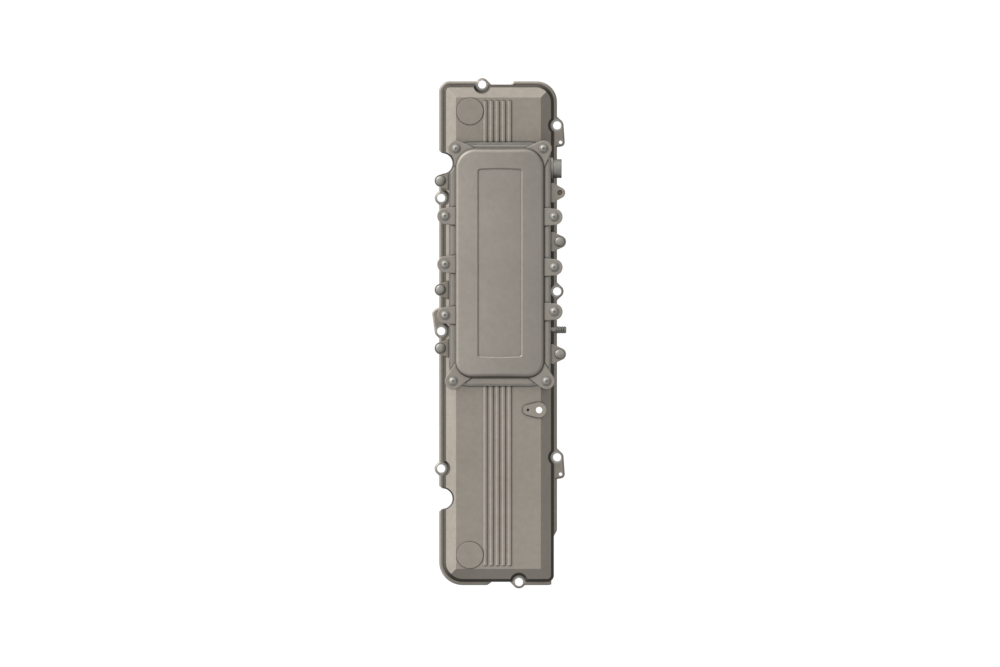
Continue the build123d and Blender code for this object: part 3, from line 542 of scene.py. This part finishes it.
def lathe(profile, closed=False):
    """A turned shape about Z from a profile of (radius, height) points. A closed one is a ring."""
    shape = bmesh.new()
    points = [shape.verts.new((radius, 0, height)) for radius, height in profile]
    edges = [shape.edges.new(pair) for pair in zip(points, points[1:])]
    if closed:
        edges.append(shape.edges.new((points[-1], points[0])))
    full = {"axis": (0, 0, 1), "cent": (0, 0, 0), "angle": 2 * pi, "steps": ROUND_STEPS, "use_merge": True}
    bmesh.ops.spin(shape, geom=points + edges, **full)
    bmesh.ops.remove_doubles(shape, verts=shape.verts[:], dist=MERGE_DISTANCE)
    bmesh.ops.recalc_face_normals(shape, faces=shape.faces[:])
    return shape


def place_piece(shape, name, node, material, turn=Matrix()):
    """Ends a shape as a piece that stands for a node, or that only goes with the body."""
    bmesh.ops.transform(shape, matrix=turn, verts=shape.verts[:])
    for face in shape.faces:
        face.smooth = True
    for edge in shape.edges:
        edge.smooth = edge.calc_face_angle(0) < SHARP_ANGLE
    mesh = bpy.data.meshes.new(name)
    shape.to_mesh(mesh)
    shape.free()
    mesh.materials.append(material)
    piece = bpy.data.objects.new(name, mesh)
    bpy.context.scene.collection.objects.link(piece)
    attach(piece, BODY)
    if node:
        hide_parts(node)


def upright_at(node, level):
    """The move that stands a turned shape on a node's axis, its seat at a level."""
    centre = middle(node)
    return Matrix.Translation((centre.x, centre.y, level))


def hexagon_socket(shape, radius):
    """Draws a turned socket's round wall in to a hexagon."""
    for vert in shape.verts:
        if abs(vert.co.xy.length - radius) < MARGIN:
            turn = vert.co.xy.angle_signed(Vector((1, 0))) % (pi / 3)
            vert.co.xy *= cos(pi / 6) / cos(turn - pi / 6)


def shank(radius, bottom):
    """The lower end of a profile: a shank under a head whose seat is at height 0."""
    return [(radius, 0), (radius, bottom + SHANK_CHAMFER), (radius - SHANK_CHAMFER, bottom), (0, bottom)]


def add_lid_screw(node):
    """A low dome with a hexagon socket on a round flange, and its shank."""
    low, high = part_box(node)
    seat = high.z - SCREW_HEAD_HEIGHT
    rise = SCREW_HEAD_HEIGHT - SCREW_FLANGE
    floor = SCREW_HEAD_HEIGHT - SOCKET_DEPTH
    start = pi / 2 - SOCKET_RADIUS / SCREW_DOME_RADIUS
    profile = [(0, floor), (SOCKET_RADIUS, floor)]
    profile += arc((0, SCREW_FLANGE), (SCREW_DOME_RADIUS, rise), start, 0, DOME_STEPS)
    flange = (SCREW_HEAD_RADIUS - SCREW_FLANGE, 0)
    profile += arc(flange, (SCREW_FLANGE, SCREW_FLANGE), pi / 2, 0, CORNER_STEPS)
    shape = lathe(profile + shank(SCREW_SHANK, low.z - seat))
    hexagon_socket(shape, SOCKET_RADIUS)
    place_piece(shape, node + "_turned", node, zinc, upright_at(node, seat))


def add_side_plug(node):
    """A plain domed head and its shank."""
    low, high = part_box(node)
    seat = high.z - PLUG_RISE
    profile = arc((0, PLUG_EDGE), (PLUG_HEAD_RADIUS, PLUG_RISE - PLUG_EDGE), pi / 2, 0, DOME_STEPS)
    profile.append((PLUG_HEAD_RADIUS, 0))
    shape = lathe(profile + shank(PLUG_SHANK, low.z - seat))
    place_piece(shape, node + "_turned", node, zinc, upright_at(node, seat))


def add_baffle_screw(node):
    """A hexagon head with a washer face, hanging under the baffle plate, and its shank."""
    low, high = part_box(node)
    seat = low.z + BAFFLE_HEAD_HEIGHT
    rounding = BAFFLE_WASHER / 2
    radius = BAFFLE_HEAD_RADIUS - rounding
    washer = arc((radius, rounding), (rounding, rounding), pi / 2, 0, WASHER_STEPS)
    shape = lathe([(0, BAFFLE_WASHER)] + washer + shank(BAFFLE_SHANK, seat - high.z))
    hexagon = {"segments": 6, "radius1": radius, "radius2": radius, "depth": BAFFLE_HEAD_HEIGHT}
    head = bmesh.ops.create_cone(shape, cap_ends=True, **hexagon)["verts"]
    bmesh.ops.translate(shape, verts=head, vec=(0, 0, BAFFLE_HEAD_HEIGHT / 2))
    top_level = BAFFLE_HEAD_HEIGHT - MARGIN
    top = [edge for edge in shape.edges if min(vert.co.z for vert in edge.verts) > top_level]
    bevel = {"affect": "EDGES", "segments": BEVEL_STEPS, "profile": 0.5, "material": -1}
    bmesh.ops.bevel(shape, geom=top, offset=BAFFLE_HEAD_BEVEL, **bevel)
    down = Matrix.Rotation(pi, 4, "X")
    place_piece(shape, node + "_turned", node, zinc, upright_at(node, seat) @ down)


def outward_at(node):
    """The move that lays a turned shape along +X from a node's inner end."""
    inner_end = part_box(node)[0].x
    centre = middle(node)
    return Matrix.Translation((inner_end, centre.y, centre.z)) @ Matrix.Rotation(pi / 2, 4, "Y")


def add_hose_nipple():
    """A plain neck that is pressed in, and barbs for the hose to grip."""
    low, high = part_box("hose_nipple")
    length = high.x - low.x
    neck = length - NIPPLE_BARBS * NIPPLE_BARB_PITCH
    profile = [(NIPPLE_BORE, 0), (NIPPLE_NECK, 0), (NIPPLE_NECK, neck)]
    for i in range(NIPPLE_BARBS):
        foot = neck + i * NIPPLE_BARB_PITCH
        profile += [(NIPPLE_BARB, foot), (NIPPLE_BARB_ROOT, foot + NIPPLE_BARB_PITCH)]
    profile.append((NIPPLE_BORE, length))
    place_piece(
        lathe(profile, closed=True),
        "hose_nipple_turned",
        "hose_nipple",
        steel_tube,
        outward_at("hose_nipple"),
    )


def add_outlet_tube():
    """The pressed-in stub with its shoulder, and a rolled lip at the open end."""
    low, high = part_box("breather_outlet_tube")
    length = high.x - low.x
    profile = [(OUTLET_BORE, 0), (OUTLET_PRESSED, 0), (OUTLET_PRESSED, OUTLET_PRESSED_LENGTH)]
    profile.append((OUTLET_RADIUS, OUTLET_PRESSED_LENGTH))
    middle_radius = (OUTLET_RADIUS + OUTLET_BORE) / 2
    lip = ((OUTLET_RADIUS - OUTLET_BORE) / 2, OUTLET_LIP)
    profile += arc((middle_radius, length - OUTLET_LIP), lip, 0, pi, 2 * CORNER_STEPS)
    place_piece(
        lathe(profile, closed=True),
        "breather_outlet_tube_turned",
        "breather_outlet_tube",
        steel_tube,
        outward_at("breather_outlet_tube"),
    )


def add_open_boss_thread():
    """The cut thread that lines the one side boss without a plug, below a small countersink."""
    crest = THREAD_RADIUS - THREAD_DEPTH
    root = THREAD_RADIUS - THREAD_CLEARANCE
    profile = [(root, THREAD_TOP - THREAD_CLEARANCE)]
    for i in range(THREAD_TURNS):
        top = THREAD_TOP - COUNTERSINK - i * THREAD_PITCH
        profile += [(crest, top), (root, top - THREAD_PITCH / 2)]
    place = Matrix.Translation((*OPEN_BOSS, 0))
    place_piece(lathe(profile), "side_boss_thread", None, casting_skin, place)


def add_fasteners():
    """Turned screws and plugs, in the order of the frame's nodes."""
    makers = {"lid_screw_": add_lid_screw, "side_plug_": add_side_plug, "baffle_screw_": add_baffle_screw}
    for node in frame["nodes"]:
        for start, add_fastener in makers.items():
            if node.startswith(start):
                add_fastener(node)


# ------------------------------------------------------------------ floor, light and camera


def white_floor():
    """A pale floor that shows white and keeps the object's shadow."""
    material, tree = new_material("white_floor")
    shader = add(
        tree,
        "BsdfPrincipled",
        Base_Color=FLOOR_GREY,
        Roughness=FLOOR_ROUGHNESS,
        Specular_IOR_Level=0.0,
        Emission_Color=(1, 1, 1, 1),
        Emission_Strength=calculate(tree, "MULTIPLY", seen_directly(tree), FLOOR_GLOW),
    )
    close_material(tree, shader)
    return material


def lay_floor():
    """A flat floor at the level on which the cover stands."""
    mesh = bpy.data.meshes.new("floor")
    shape = bmesh.new()
    bmesh.ops.create_grid(shape, x_segments=1, y_segments=1, size=FLOOR_SIZE / 2)
    shape.to_mesh(mesh)
    shape.free()
    mesh.materials.append(white_floor())
    floor = bpy.data.objects.new("floor", mesh)
    bpy.context.scene.collection.objects.link(floor)


def sky():
    """A sky that is white to the eye and in reflections, and a dimmer even light on the object."""
    world = bpy.data.worlds.new("sky")
    world.use_nodes = True
    tree = world.node_tree
    tree.nodes.clear()
    strength = spread(tree, seen_directly(tree), SKY_LIGHT, 1.0, 0.0, 1.0)
    background = add(tree, "Background", Color=(1, 1, 1, 1), Strength=strength)
    output = add(tree, "OutputWorld")
    tree.links.new(background.outputs["Background"], output.inputs["Surface"])
    bpy.context.scene.world = world


def key_lamp():
    """A distant soft lamp, seen from the object at an azimuth from +X and an elevation."""
    data = bpy.data.lights.new("key", "SUN")
    data.energy = KEY_STRENGTH
    data.angle = radians(KEY_WIDTH)
    data.use_shadow = False
    light = bpy.data.objects.new("key", data)
    turn, rise = radians(KEY_AZIMUTH), radians(KEY_ELEVATION)
    towards = Vector((cos(rise) * cos(turn), cos(rise) * sin(turn), sin(rise)))
    light.rotation_euler = towards.to_track_quat("Z", "Y").to_euler()
    light.location = towards * CAMERA_HEIGHT
    bpy.context.scene.collection.objects.link(light)


def overhead_camera():
    """A camera without perspective that looks straight down."""
    data = bpy.data.cameras.new("camera")
    data.type = "ORTHO"
    data.ortho_scale = VIEW_WIDTH
    camera = bpy.data.objects.new("camera", data)
    camera.location = (VIEW_X, VIEW_Y, CAMERA_HEIGHT)
    bpy.context.scene.collection.objects.link(camera)
    bpy.context.scene.camera = camera


# ------------------------------------------------------------------ the whole


dress_nodes()
add_fasteners()
add_hose_nipple()
add_outlet_tube()
add_open_boss_thread()
lay_floor()
sky()
key_lamp()
overhead_camera()
bpy.context.scene.view_settings.view_transform = "Standard"
